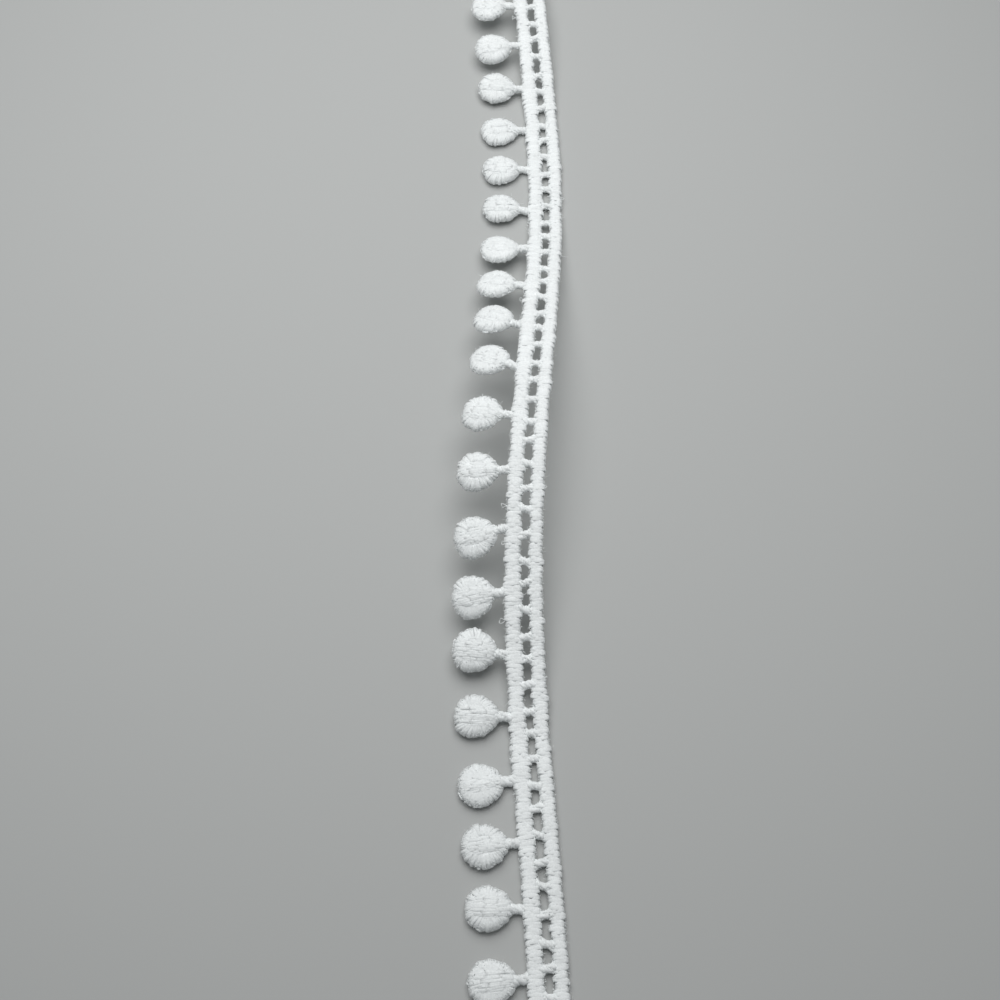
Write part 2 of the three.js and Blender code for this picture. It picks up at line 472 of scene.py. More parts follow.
def bar_threads(lace, name, face, needles, rng):
    """Satin stitches over one face of a bar, each from a needle point to the next on the other edge.

    With a from -arc to arc, a stitch is at sin(a) half widths across and cos(a) half thicknesses up, both
    raised to the power square, and it runs along by ZIGZAG of the way from one needle point to the other.
    """
    bar = bar_sizes(lace)[name]
    angle = np.radians(np.linspace(-face["arc"], face["arc"], face["stations"]))
    over = signed_power(np.sin(angle), face["square"])
    up = face["way"] * signed_power(np.cos(angle), face["square"])
    share = np.clip((over + 1) / 2, 0, 1)
    centre = (needles["along"][:-1, None] + needles["along"][1:, None]) / 2
    along = between(needles["along"][:-1, None], needles["along"][1:, None], share)
    along = between(centre, along, ZIGZAG)
    reach = between(needles["reach"][:-1, None], needles["reach"][1:, None], share)
    half = bar_half_width(lace, name, along) - BAR_THREAD["edge"] + reach
    edge = needles["edge"][:-1, None]
    middle = BAR_MIDDLE * lace.bar_thickness
    rise = np.where(up > 0, lace.bar_thickness - BAR_THREAD["high"] - middle, middle - BAR_THREAD["high"])
    height = middle + up * rise + needles["lift"][:, None] * np.maximum(up, 0)
    height += rng.normal(0, BAR_PEBBLE, along.shape) * np.abs(up)
    path = stacked(bar["middle"] - edge * over * half, along, height)
    outward = stacked(-edge * over / half, 0.0, up / rise)
    turned = np.abs(over) ** BAR_TURN
    wide = between(BAR_THREAD["wide"], BAR_THREAD["narrow"], turned)
    high = between(BAR_THREAD["high"], BAR_THREAD["edge"], turned)
    return lay(tubes(path, outward, wide, high, face["sides"]))


def bar_stitches(lace, name, rng):
    """Bundles of the stitches on both faces of a bar."""
    needles = needle_points(lace, rng)
    faces = [bar_threads(lace, name, face, needles, rng) for face in BAR_FACES.values()]
    return [(rings, needles["tone"]) for rings in faces]


# Rungs and necks

# How a rung or a neck lies. bar and dot: how far it goes into them. rise: how far it stands above the bars'
# middle. fall: how much lower it is where it goes into a bar.
RUNG = {"bar": 0.5 * MM, "rise": 0.18 * MM, "fall": 0.2 * MM}
NECK = {"bar": 0.5 * MM, "dot": 0.9 * MM, "rise": 0.25 * MM, "fall": 0.2 * MM}
# Twisted cords. twist: turns along a cord. plump: shares of the radius from the finest ply to the thickest.
# flatness: a cord's height as a share of its width. flare: the share by which it spreads at its ends.
CORD = {"plies": 3, "sides": 6, "twist": [0.3, 1.2], "plump": [0.8, 1.25], "flatness": 0.75, "flare": 0.5}
CORD_LUMPS = 0.12  # unevenness of a thread's radius, as a share of it
# The thread wound round a cord. tension: shares of the even number of turns. wobble: unevenness of its reach.
WINDING = {"pitch": 0.5 * MM, "radius": 0.2 * MM, "sides": 5, "tension": [0.85, 1.15], "wobble": 0.1}
# core and wound: first and last share of a cord's path, and the stations. spread and reach: from the cord's
# middle to its plies and to its winding. loose: shares of spread from the tightest cord to the loosest.
RUNG_CORD = {
    "core": (-1, 1, 13), "spread": 0.27 * MM, "loose": [0.8, 1.25], "radius": 0.38 * MM,
    "wound": (-0.72, 0.72, 29), "reach": 0.5 * MM,
}
NECK_CORD = {
    "core": (0, 1, 15), "spread": 0.33 * MM, "loose": [0.85, 1.15], "radius": 0.45 * MM,
    "wound": (0.13, 0.75, 33), "reach": 0.63 * MM,
}
# A thread that rounds the corner between a bar and a cord has three knots. A knot is out along the cord by a
# share of its open length and so much past that, from least to most aside of its middle, and up above it.
Knot = namedtuple("Knot", ["share", "past", "least", "most", "up"])
RUNG_KNOTS = [
    Knot(1, 0.3 * MM, 0.6 * MM, 1.1 * MM, -0.1 * MM),
    Knot(1, -0.1 * MM, 0.3 * MM, 0.45 * MM, 0.05 * MM),
    Knot(-0.2, 0, 0.1 * MM, 0.25 * MM, 0.05 * MM),
]
NECK_KNOTS = [
    Knot(0, -0.3 * MM, 0.5 * MM, 0.9 * MM, -0.1 * MM),
    Knot(0, 0.1 * MM, 0.35 * MM, 0.5 * MM, 0.05 * MM),
    Knot(0.7, 0, 0.15 * MM, 0.3 * MM, 0.15 * MM),
]
CORNER = {"stations": 7, "sides": 5}
CORNER_RADII = {"rung": [0.2 * MM, 0.3 * MM], "neck": [0.18 * MM, 0.28 * MM]}
BOTH_SIDES = np.array([-1.0, 1.0])


def rung_paths(lace, share):
    """Middle lines of the rungs at shares from -1 to 1 across the gap, a little out of square."""
    count = lace.rung_count
    along = (np.arange(count) + 0.5) * lace.rung_pitch - lace.length / 2 + uneven(RUNG_SHIFT, count)
    x = (lace.ladder_gap / 2 + RUNG["bar"]) * share
    y = along[:, None] + uneven(RUNG_SLANT, count)[:, None] * share
    rise = lace.cord_height + RUNG["rise"] + uneven(RUNG_RISE, count)[:, None]
    return stacked(x, y, rise - RUNG["fall"] * np.abs(share) ** 3)


def neck_paths(lace, share):
    """Middle lines of the necks at shares from 0 inside the bar to 1 inside the dot, each a little bent."""
    x = between(-NECK["bar"], lace.neck_length + NECK["dot"], share)
    bend = uneven(NECK_BEND, lace.dot_count)[:, None] * np.sin(np.pi * share)
    z = lace.cord_height + NECK["rise"] * share - NECK["fall"] * (1 - share) ** 4
    return stacked(x, bend, z)


def plies(path, spread, turns, start, count):
    """Middle lines of the plies of twisted cords, of shape (cords, plies, stations, 3).

    Ply p goes round its cord's path at the distance spread, or the cord's flatness of it upwards, at the
    angle start + 2 pi * (turns * t + p / count), with t from 0 to 1 along the cord.
    """
    across, normal = section_axes(path, UP)
    share = np.linspace(0, 1, path.shape[-2])
    angle = FULL_TURN * (turns[:, None, None] * share + np.arange(count)[:, None] / count)
    angle = (angle + start[:, None, None])[..., None]
    aside = np.cos(angle) * across[:, None]
    lift = CORD["flatness"] * np.sin(angle) * normal[:, None]
    return path[:, None] + spread[:, None, :, None] * (aside + lift)


def lumpy_tubes(path, outward, radius, sides, rng):
    """Round threads along paths, with lumps along them."""
    thick = radius * rng.normal(1, CORD_LUMPS, path.shape[:-1])
    return tubes(path, outward, thick, thick, sides)


def core_threads(path, spread, radius, rng):
    """Twisted cores along paths, with each cord's twist and each ply's radius of its own."""
    cords = len(path)
    start = rng.uniform(0, FULL_TURN, cords)
    middle = plies(path, spread, rng.uniform(*CORD["twist"], cords), start, CORD["plies"])
    thick = radius * rng.uniform(*CORD["plump"], (cords, CORD["plies"], 1))
    return lumpy_tubes(middle, UP, thick, CORD["sides"], rng)


def winding_threads(path, reach, rng):
    """A thread wound round each cord: one ply at the distance reach, with a turn for each pitch."""
    cords, stations = path.shape[:2]
    length = np.linalg.norm(path[:, -1] - path[:, 0], axis=-1)
    turns = length / WINDING["pitch"] * rng.uniform(*WINDING["tension"], cords)
    spread = reach * rng.normal(1, WINDING["wobble"], (cords, stations))
    middle = plies(path, spread, turns, rng.uniform(0, FULL_TURN, cords), 1)
    return lumpy_tubes(middle, middle - path[:, None], WINDING["radius"], WINDING["sides"], rng)


def wound_cords(lace, paths, cord, rng):
    """Twisted cores, which spread by flare * |e|^3 with e from -1 to 1 along them, and their windings."""
    path = paths(lace, np.linspace(*cord["core"]))
    flare = 1 + CORD["flare"] * np.abs(np.linspace(-1, 1, path.shape[1])) ** 3
    spread = cord["spread"] * rng.uniform(*cord["loose"], (len(path), 1)) * flare
    cores = core_threads(path, spread, cord["radius"], rng)
    windings = winding_threads(paths(lace, np.linspace(*cord["wound"])), cord["reach"], rng)
    return [cores, windings]


def corner_threads(knots, length, place, shape, radii, rng):
    """Threads that round the corners between bars and cords.

    Each is a quadratic curve from its knot on the bar to its knot on the cord, drawn towards the one
    between. place carries a knot's distances out, aside and up to the pattern.
    """
    points = []
    for knot in knots:
        aside = rng.uniform(knot.least, knot.most, shape)
        points.append(place(knot.share * length + knot.past, aside, knot.up)[..., None, :])
    radius = rng.uniform(*radii, shape + (1,))
    t = np.linspace(0, 1, CORNER["stations"])[:, None]
    path = points[0] * (1 - t) ** 2 + points[1] * 2 * t * (1 - t) + points[2] * t**2
    return lumpy_tubes(path, UP, radius, CORNER["sides"], rng)


def rung_threads(lace, rng):
    """Wound rungs, and four threads on each that round the corners of the ladder's holes."""
    threads = wound_cords(lace, rung_paths, RUNG_CORD, rng)
    end, side = np.meshgrid(BOTH_SIDES, BOTH_SIDES, indexing="ij")
    shape = (lace.rung_count, 2, 2)
    middle = rung_paths(lace, np.zeros(1))[:, None]
    edge = lace.ladder_gap / 2
    slope = uneven(RUNG_SLANT, lace.rung_count)[:, None, None] / (edge + RUNG["bar"])

    def place(out, aside, up):
        return middle + stacked(end * out, slope * end * out + side * aside, up)

    threads.append(corner_threads(RUNG_KNOTS, edge, place, shape, CORNER_RADII["rung"], rng))
    return [lay(rings) for rings in threads]


def neck_threads(lace, rng):
    """Wound necks from inside the inner bar to inside their dots, and two corner threads on each."""
    threads = wound_cords(lace, neck_paths, NECK_CORD, rng)
    shape = (lace.dot_count, 2)

    def place(out, aside, up):
        return stacked(out, BOTH_SIDES * aside, lace.cord_height + up)

    radii = CORNER_RADII["neck"]
    threads.append(corner_threads(NECK_KNOTS, lace.neck_length, place, shape, radii, rng))
    return [lay_dots(rings, lace) for rings in threads]


# Loose loops

# Loops of thread that stand off a bar's edge. side: the edge towards -x or +x.
Loop = namedtuple("Loop", ["bar", "side", "along", "reach", "half"])
LOOSE_LOOPS = [
    Loop("inner", -1, -11.2 * MM, 1.0 * MM, 0.32 * MM),
    Loop("inner", -1, -17.3 * MM, 0.8 * MM, 0.3 * MM),
    Loop("inner", -1, -29.6 * MM, 1.1 * MM, 0.42 * MM),
    Loop("inner", 1, -4.6 * MM, 0.7 * MM, 0.25 * MM),
    Loop("outer", 1, -7.8 * MM, 0.6 * MM, 0.22 * MM),
    Loop("outer", -1, -47.2 * MM, 0.7 * MM, 0.3 * MM),
    Loop("inner", -1, 31.4 * MM, 0.8 * MM, 0.26 * MM),
    Loop("outer", 1, 58.1 * MM, 0.7 * MM, 0.3 * MM),
    Loop("inner", -1, 101.8 * MM, 0.9 * MM, 0.35 * MM),
    Loop("inner", 1, -88.7 * MM, 0.7 * MM, 0.25 * MM),
    Loop("outer", 1, -118.3 * MM, 0.8 * MM, 0.3 * MM),
]
# bury: how far a loop's ends lie inside the edge. blunt: the power that rounds its tip. climb: how much
# higher its second end is than its first. Its bends are shares of its half, its reach and the bars' middle.
LOOP = {"stations": 25, "sides": 6, "radius": 0.05 * MM, "bury": 0.2 * MM, "blunt": 0.7, "climb": 0.1 * MM}
LOOP_BEND = {"waves": 1.7, "along": 0.3, "out": 0.12, "up": 0.4}


def loop_threads(lace, rng):
    """Fine threads pulled out of a bar into uneven drops.

    At t from 0 to 1 a drop is at sin(pi t)^blunt of its reach outwards and sin(2 pi t) of its half width
    along, and a smaller wave with a random start bends it.
    """
    t = np.linspace(0, 1, LOOP["stations"])
    paths = []
    for loop in LOOSE_LOOPS:
        bend = np.sin(np.pi * t) * np.sin(FULL_TURN * (LOOP_BEND["waves"] * t + rng.random((3, 1))))
        along = loop.along + loop.half * (np.sin(FULL_TURN * t) + LOOP_BEND["along"] * bend[0])
        edge = bar_half_width(lace, loop.bar, loop.along) - LOOP["bury"]
        out = edge + loop.reach * (np.sin(np.pi * t) ** LOOP["blunt"] + LOOP_BEND["out"] * bend[1])
        x = bar_sizes(lace)[loop.bar]["middle"] + loop.side * out
        z = lace.cord_height * (1 + LOOP_BEND["up"] * bend[2]) + LOOP["climb"] * t
        paths.append(stacked(x, along, z))
    return lay(tubes(np.stack(paths), UP, LOOP["radius"], LOOP["radius"], LOOP["sides"]))


# Dots

# The two faces of a dot. square: the power that flattens the dome. starts: radii at which neighbouring
# stitches begin. over: stations from there to the rim. under: stations past the rim, where the stitch turns
# under by turned degrees.
DOT_FACES = {
    "top": {
        "way": 1, "square": 0.8, "starts": [0.36, 0.42], "over": 5, "under": 2, "turned": 40, "sides": 6
    },
    "underside": {
        "way": -1, "square": 0.6, "starts": [0.0, 0.3], "over": 5, "under": 0, "turned": 0, "sides": 4
    },
}
DOT_THREAD = {"rim": 0.32 * MM, "start": 0.22 * MM, "high": 0.08 * MM, "edge": 0.16 * MM}
DOT_PLUMP = [0.9, 1.15]  # shares of the width from the finest rim stitch to the thickest
DOT_MIDDLE = 0.42  # share of the thickness at which a dot is widest
DOT_TAPER = 0.13  # share by which a dot narrows towards its neck
NECK_FLARE = 0.04  # share by which a dot reaches out towards its neck
DOT_LOBES = {2: 0.012, 3: 0.01, 5: 0.008}  # lobes round a dot's rim: how far they stand out, in radii
DOT_LUMPS = {"height": 0.07 * MM, "waves": [0.35, 0.45, 0.6, 0.8]}  # of the padding, waves in radii
# Errors of the rim stitches: turn and skew in radians, start and reach in radii, most as a multiple of reach
DOT_ERROR = {"turn": 0.011, "start": 0.02, "skew": 0.06, "lift": 0.01 * MM, "reach": 0.038, "most": 1.3}
# The raised crown of a dot: rows of short stitches in an oval, in radii. middle: where it lies, from the
# dot's middle outwards. long and half: half its length and breadth. outermost: the share of half at which
# the last rows lie. drawn_in: the share by which the rows close up at their ends.
CROWN = {"rows": 13, "middle": -0.06, "long": 0.94, "half": 0.57, "outermost": 0.94, "drawn_in": 0.2}
CROWN_BREAKS = [-0.4, 0.35]  # where a row is parted into short stitches, in shares of its half length
CROWN_THREAD = {"wide": 0.3 * MM, "high": 0.1 * MM, "stations": 6, "sides": 6}
CROWN_PLUMP = [0.85, 1.15]  # shares of the width from the finest stitch to the thickest
CROWN_LIFT = 0.32 * MM  # how far the middle of the crown stands above the rim stitches
# How far the rows go in: side, at the crown's sides, and end, at their ends past a share of their half length
CROWN_SINK = {"side": 0.1 * MM, "end": 0.09 * MM, "share": 0.75}
CROWN_WAVE = {"reach": 0.014, "waves": 0.9}  # the bend of a row: reach in radii, waves in its half length
# Errors of a crown: row in shares of half, break in shares of a row's half length, run and aside in radii
CROWN_ERROR = {"row": 0.015, "break": 0.25, "run": 0.04, "slant": 0.03, "aside": 0.01, "lift": 0.007 * MM}
STITCH_DIP = 0.022 * MM  # how far a short stitch goes in at each end


def dot_place(lace, disc, height):
    """Carries places in a unit disc, with x outwards from the neck, to the dots' own frames."""
    u, v = np.moveaxis(disc, -1, 0)
    x = lace.neck_length + lace.dot_across / 2 * (1 + u)
    y = lace.dot_along / 2 * (1 + DOT_TAPER * u) * v
    return stacked(x, y, height)


def dome(radius, square):
    """Height of a flattened unit dome at a radius: (1 - r^(2/q))^(q/2), with q the power square."""
    return (1 - np.clip(radius, 0, 1) ** (2 / square)) ** (square / 2)


def dot_lumps(disc):
    """Height and slope of the padding's lumps in the dots' discs.

    They are the mean of sine waves, each with a random way and start on each dot.
    """
    rng = np.random.default_rng(SEEDS["lumps"])
    each = (disc.shape[0],) + (1,) * (disc.ndim - 2)
    height, slope = 0, 0
    for wave in DOT_LUMPS["waves"]:
        way = ways(rng.uniform(0, FULL_TURN, each))
        phase = FULL_TURN * (np.sum(disc * way, axis=-1) / wave + rng.random(each))
        height = height + np.sin(phase)
        slope = slope + FULL_TURN / wave * np.cos(phase)[..., None] * way
    share = DOT_LUMPS["height"] / len(DOT_LUMPS["waves"])
    return share * height, share * slope


def dot_crest(lace):
    """Height above the surface of the dome that each dot's rim stitches lie on."""
    return lace.dot_thickness * (1 + uneven(DOT_HEIGHT, lace.dot_count)) - CROWN_LIFT


def dome_threads(lace, way, disc, up, rise, lift, slope, section):
    """Threads with the given section on the dots' domes, through places in their discs.

    A thread lies at up * rise + lift from the dot's middle, and its section faces out of the dome: by
    disc - slope * up / rise in the disc, where slope is that of the lift, and by radius * up / rise upwards.
    """
    path = dot_place(lace, disc, lace.dot_middle + way * (up * rise + lift))
    x, y = np.moveaxis(disc - slope * (np.maximum(up, 0) / rise)[..., None], -1, 0)
    outward = stacked(x, y, way * up * lace.dot_across / 2 / rise)
    return lay_dots(tubes(path, outward, *section), lace)


def dot_rim(lace, turn, rng):
    """How far each rim stitch reaches, in radii.

    All reach equally far but for the dot's lobes, a flare at the neck by cos^8 and each stitch's own error.
    """
    error = np.clip(rng.standard_normal(turn.shape), -DOT_ERROR["most"], DOT_ERROR["most"])
    reach = 1 - 2 * DOT_THREAD["edge"] / lace.dot_across + DOT_ERROR["reach"] * error
    reach += NECK_FLARE * np.maximum(-np.cos(turn), 0) ** 8
    for lobes, size in DOT_LOBES.items():
        reach += size * np.sin(lobes * turn + rng.uniform(0, FULL_TURN, (turn.shape[0], 1)))
    return reach


def dot_threads(lace, face, rng):
    """Stitches that run out over one face of each dot from round its middle, and turn under its rim.

    At the share r of the way out a stitch is at r times its reach, turned back by skew * (1 - r), and it
    lies on a flattened dome. Past the rim it turns down about it.
    """
    shape = (lace.dot_count, lace.dot_stitches, 1)
    turn = (np.arange(shape[1]) + 0.5) / shape[1] * FULL_TURN
    turn = turn + rng.normal(0, DOT_ERROR["turn"], shape[:2])
    reach = dot_rim(lace, turn, rng)[..., None]
    start = np.resize(face["starts"], shape[1])[:, None] + rng.normal(0, DOT_ERROR["start"], shape)
    out = between(np.abs(start), 1, np.linspace(0, 1, face["over"]))
    skew = uneven(DOT_SKEW, lace.dot_count)[:, None, None] + rng.normal(0, DOT_ERROR["skew"], shape)
    slant = turn[..., None] + skew * (1 - out)
    turned = np.radians(np.linspace(0, face["turned"], face["under"] + 1)[1:])
    radius = np.concatenate([out, np.cos(turned) ** face["square"] * np.ones(shape)], axis=-1)
    slant = np.concatenate([slant, turn[..., None] * np.ones(len(turned))], axis=-1)
    disc = (reach * radius)[..., None] * ways(slant)
    below = -(np.sin(turned) ** face["square"]) * np.ones(shape)
    up = np.concatenate([dome(out, face["square"]), below], axis=-1)
    crest = dot_crest(lace)[:, None, None] - DOT_THREAD["high"] + rng.normal(0, DOT_ERROR["lift"], shape)
    floor = lace.dot_middle - DOT_THREAD["edge"]
    rise = np.where((up > 0) & (face["way"] > 0), crest - lace.dot_middle, floor)
    lump, slope = dot_lumps(disc)
    lift = lump * np.maximum(up, 0)
    share = np.concatenate([(out - start) / (1 - start), np.ones(shape[:2] + turned.shape)], axis=-1)
    wide = between(DOT_THREAD["start"], DOT_THREAD["rim"], share) * rng.uniform(*DOT_PLUMP, shape)
    high = between(DOT_THREAD["high"], DOT_THREAD["edge"], share**2)
    section = (wide, high, face["sides"])
    return dome_threads(lace, face["way"], disc, up, rise, lift, slope, section)


def crown_threads(lace, rng):
    """Rows of short stitches over the crown of each dot, from the neck's side to the far rim's.

    A row at the share v of the oval's breadth runs sqrt(1 - v^2) of its length. With s from -1 to 1 along
    it the row stands (1 - v^2)(1 - s^4) of the lift above the rim stitches, and it goes in among them at
    its ends. It is parted at uneven breaks, and each stitch goes in by (2 t - 1)^4 of the dip, with t from
    0 to 1 along it.
    """
    rows = (lace.dot_count, CROWN["rows"], 1, 1)
    v = np.linspace(-CROWN["outermost"], CROWN["outermost"], CROWN["rows"])[:, None, None]
    v = v + rng.normal(0, CROWN_ERROR["row"], rows)
    error = rng.uniform(-CROWN_ERROR["break"], CROWN_ERROR["break"], rows[:2] + (len(CROWN_BREAKS),))
    ends = np.ones(rows[:2] + (1,))
    breaks = np.concatenate([-ends, np.array(CROWN_BREAKS) + error, ends], axis=-1)
    t = np.linspace(0, 1, CROWN_THREAD["stations"])
    s = between(breaks[..., :-1, None], breaks[..., 1:, None], t)
    stitches = s.shape[:-1] + (1,)
    run = CROWN["long"] * np.sqrt(1 - v**2) + rng.normal(0, CROWN_ERROR["run"], rows)
    u = CROWN["middle"] + run * s
    half = (CROWN["half"] + uneven(CROWN_BREADTH, lace.dot_count)).reshape(-1, 1, 1, 1)
    aside = half * v * (1 - CROWN["drawn_in"] * s**2) + u * rng.normal(0, CROWN_ERROR["slant"], rows)
    aside = aside + CROWN_WAVE["reach"] * np.sin(FULL_TURN * (CROWN_WAVE["waves"] * s + rng.random(rows)))
    aside = aside + rng.normal(0, CROWN_ERROR["aside"], stitches)
    disc = np.stack([u, aside], axis=-1)
    up = dome(np.linalg.norm(disc, axis=-1), DOT_FACES["top"]["square"])
    sunk = np.clip((np.abs(s) - CROWN_SINK["share"]) / (1 - CROWN_SINK["share"]), 0, 1) ** 2
    lift = CROWN_LIFT * (1 - v**2) * (1 - s**4) - CROWN_SINK["side"] - CROWN_SINK["end"] * sunk
    lift = lift - STITCH_DIP * (2 * t - 1) ** 4 + rng.normal(0, CROWN_ERROR["lift"], stitches)
    rise = dot_crest(lace).reshape(-1, 1, 1, 1) - CROWN_THREAD["high"] - lace.dot_middle
    lump, slope = dot_lumps(disc)
    slope[..., 1] -= 2 * v * CROWN_LIFT * (1 - s**4) / half
    wide = CROWN_THREAD["wide"] * rng.uniform(*CROWN_PLUMP, stitches)
    section = (wide, CROWN_THREAD["high"], CROWN_THREAD["sides"])
    return dome_threads(lace, 1, disc, up, rise, lift + lump, slope, section)


# Padding

PADDING_INSET = 0.2 * MM
BAR_PADDING = {"step": 0.5 * MM, "sides": 12}
# rise: degrees from the widest ring to the lowest and the highest, and how many rings
DOT_PADDING = {"rise": (-82, 86, 14), "square": 0.75, "sides": 28}
CORD_PADDING = {"radius": 0.2 * MM, "sides": 6}


def bar_padding(lace, name):
    """The core of a bar: an oval tube along the whole length, inside the stitches."""
    stations = round(lace.length / BAR_PADDING["step"]) + 1
    along = np.linspace(-0.5, 0.5, stations) * (lace.length - 4 * PADDING_INSET)
    path = stacked(bar_sizes(lace)[name]["middle"], along, lace.cord_height)
    wide = bar_half_width(lace, name, along) - PADDING_INSET
    high = lace.cord_height - PADDING_INSET
    return lay(tubes(path[None], UP, wide, high, BAR_PADDING["sides"]))


def dot_padding(lace):
    """The cores of the dots: domes inside the stitches, as rings of a unit disc from foot to crown."""
    rise = np.radians(np.linspace(*DOT_PADDING["rise"]))
    out = signed_power(np.cos(rise), DOT_PADDING["square"]) * (1 - 2 * PADDING_INSET / lace.dot_across)
    up = signed_power(np.sin(rise), DOT_PADDING["square"])
    turn = np.arange(DOT_PADDING["sides"]) * FULL_TURN / DOT_PADDING["sides"]
    middle = lace.dot_middle
    reach = np.where(up > 0, lace.dot_thickness - middle - PADDING_INSET, middle) - PADDING_INSET
    rings = dot_place(lace, out[:, None, None] * ways(turn), (middle + up * reach)[:, None])
    return lay_dots(np.broadcast_to(rings, (lace.dot_count,) + rings.shape), lace)


def cord_padding(lace):
    """Thin cores of the rungs, each one plain tube."""
    path = rung_paths(lace, np.linspace(*RUNG_CORD["core"]))
    return lay(tubes(path, UP, CORD_PADDING["radius"], CORD_PADDING["radius"], CORD_PADDING["sides"]))


# Stray fibres

FIBRES = {"bar": 3600, "rung": 10, "dot": 150}  # how many on each
# The two kinds of fibre: short nubs and longer hairs. length: the mean. radius: the finest and the thickest.
NUB = {"length": 0.17 * MM, "radius": [0.07 * MM, 0.11 * MM]}
HAIR = {"length": 0.4 * MM, "radius": [0.025 * MM, 0.05 * MM]}
NUB_SHARE = 0.72  # of all fibres
FIBRE = {"stations": 3, "sides": 3, "tip": 0.5}  # tip: share of the radius that is left there
FIBRE_TURNS = [0.5, 0.8, 0.9]  # how far each leg of a fibre turns away from the leg before it
FIBRE_EVENNESS = 3.0  # the higher it is, the less the lengths differ
FIBRE_SIDE = UP + 0.37  # where a fibre's section faces: a way that hardly any fibre runs along
# Where the fibres stand. length: the share of a bar's. tilt: from below the edge to the top, in radians.
# square: the power that squares the section. edge and top: how deep the roots lie there.
BAR_ROOTS = {"length": 0.98, "tilt": [-0.2, 1.0], "square": 0.7, "edge": 0.05 * MM, "top": 0.1 * MM}
# crowd: the power that brings the roots out to the rim. radius: the outermost. tilt: how far the fibres lean,
# from down to up.
DOT_ROOTS = {"crowd": 0.07, "radius": 0.97, "tilt": [-0.2, 0.3]}
RUNG_ROOTS = {"bare": 3, "reach": 0.5 * MM}  # bare: stations at each end with no fibres


def fibres(root, outward, rng):
    """Loose fibres from their roots, each a nub or a hair, as thin tubes.

    A fibre's middle line is a cubic curve whose three legs turn away from outward at random, and the
    fibre is finer towards its tip.
    """
    count = len(root)
    nub = rng.random(count) < NUB_SHARE
    length = np.where(nub, NUB["length"], HAIR["length"])
    length = length * rng.gamma(FIBRE_EVENNESS, 1 / FIBRE_EVENNESS, count)
    radius = np.where(nub, rng.uniform(*NUB["radius"], count), rng.uniform(*HAIR["radius"], count))
    knots = [root]
    leg = outward
    for turn in FIBRE_TURNS:
        leg = unit(leg + rng.normal(0, turn, (count, 3)))
        knots.append(knots[-1] + length[:, None] / len(FIBRE_TURNS) * leg)
    t = np.linspace(0, 1, FIBRE["stations"])[:, None]
    weights = [(1 - t) ** 3, 3 * (1 - t) ** 2 * t, 3 * (1 - t) * t**2, t**3]
    path = sum(weight * knot[:, None] for weight, knot in zip(weights, knots))
    thick = radius[:, None] * np.linspace(1, FIBRE["tip"], FIBRE["stations"])
    return tubes(path, FIBRE_SIDE, thick, thick, FIBRE["sides"])


def bar_fibres(lace, name, count, rng):
    """Loose fibres on the edges and the top of a bar, most of them at the edges."""
    along = rng.uniform(-BAR_ROOTS["length"] / 2, BAR_ROOTS["length"] / 2, count) * lace.length
    edge = rng.choice(BOTH_SIDES, count)
    tilt = rng.uniform(*BAR_ROOTS["tilt"], count)
    half = bar_half_width(lace, name, along) - BAR_ROOTS["edge"]
    x = bar_sizes(lace)[name]["middle"] + edge * half * np.cos(tilt) ** BAR_ROOTS["square"]
    z = lace.cord_height + (lace.cord_height - BAR_ROOTS["top"]) * np.sin(tilt)
    return lay(fibres(stacked(x, along, z), stacked(edge * np.cos(tilt), 0.0, np.sin(tilt)), rng))


def dot_fibres(lace, count, rng):
    """Loose fibres all over the dots' domes, most of them near the rims."""
    shape = (lace.dot_count, count)
    turn = rng.uniform(0, FULL_TURN, shape)
    radius = rng.uniform(0, 1, shape) ** DOT_ROOTS["crowd"]
    disc = DOT_ROOTS["radius"] * radius[..., None] * ways(turn)
    up = np.sqrt(1 - radius**2)
    rise = lace.dot_thickness - lace.dot_middle - DOT_THREAD["high"]
    root = dot_place(lace, disc, lace.dot_middle + up * rise)
    outward = stacked(disc[..., 0], disc[..., 1], up + rng.uniform(*DOT_ROOTS["tilt"], shape))
    rings = fibres(root.reshape(-1, 3), outward.reshape(-1, 3), rng)
    return lay_dots(rings.reshape(shape + rings.shape[1:]), lace)


def rung_fibres(lace, count, rng):
    """Loose fibres round the rungs, at random places along them."""
    path = rung_paths(lace, np.linspace(*RUNG_CORD["core"]))
    shape = (lace.rung_count, count)
    spot = rng.integers(RUNG_ROOTS["bare"], path.shape[1] - RUNG_ROOTS["bare"], shape)
    turn = rng.uniform(0, FULL_TURN, shape)
    outward = stacked(0.0, np.cos(turn), np.sin(turn))
    root = path[np.arange(lace.rung_count)[:, None], spot] + RUNG_ROOTS["reach"] * outward
    return lay(fibres(root.reshape(-1, 3), outward.reshape(-1, 3), rng))


# Materials

THREAD_TWIST = {"along": 1.6, "round": 2.0}  # ridges in a millimetre of thread, and in one turn round it
FILAMENT_SCALE = (1.2, 14.0, 1.0)  # in a millimetre of thread, and in one turn round it
BLOTCH_SCALE = 260.0  # in a metre
PEBBLE_SCALE = 3600.0  # in a metre
NOISE_MEAN = 0.5
# Shares of the thread's colour. The pebble noise's share is a fine mottle of painted shade between the
# filaments.
TONE_SHARES = {"even": 0.8, "blotches": 0.08, "pebbles_and_painted_shade": 0.32}
RELIEF = {"twist": 0.1, "filaments": 0.5, "pebbles_and_painted_shade": 2.0}
ROUGHNESS_SPREAD = 0.12


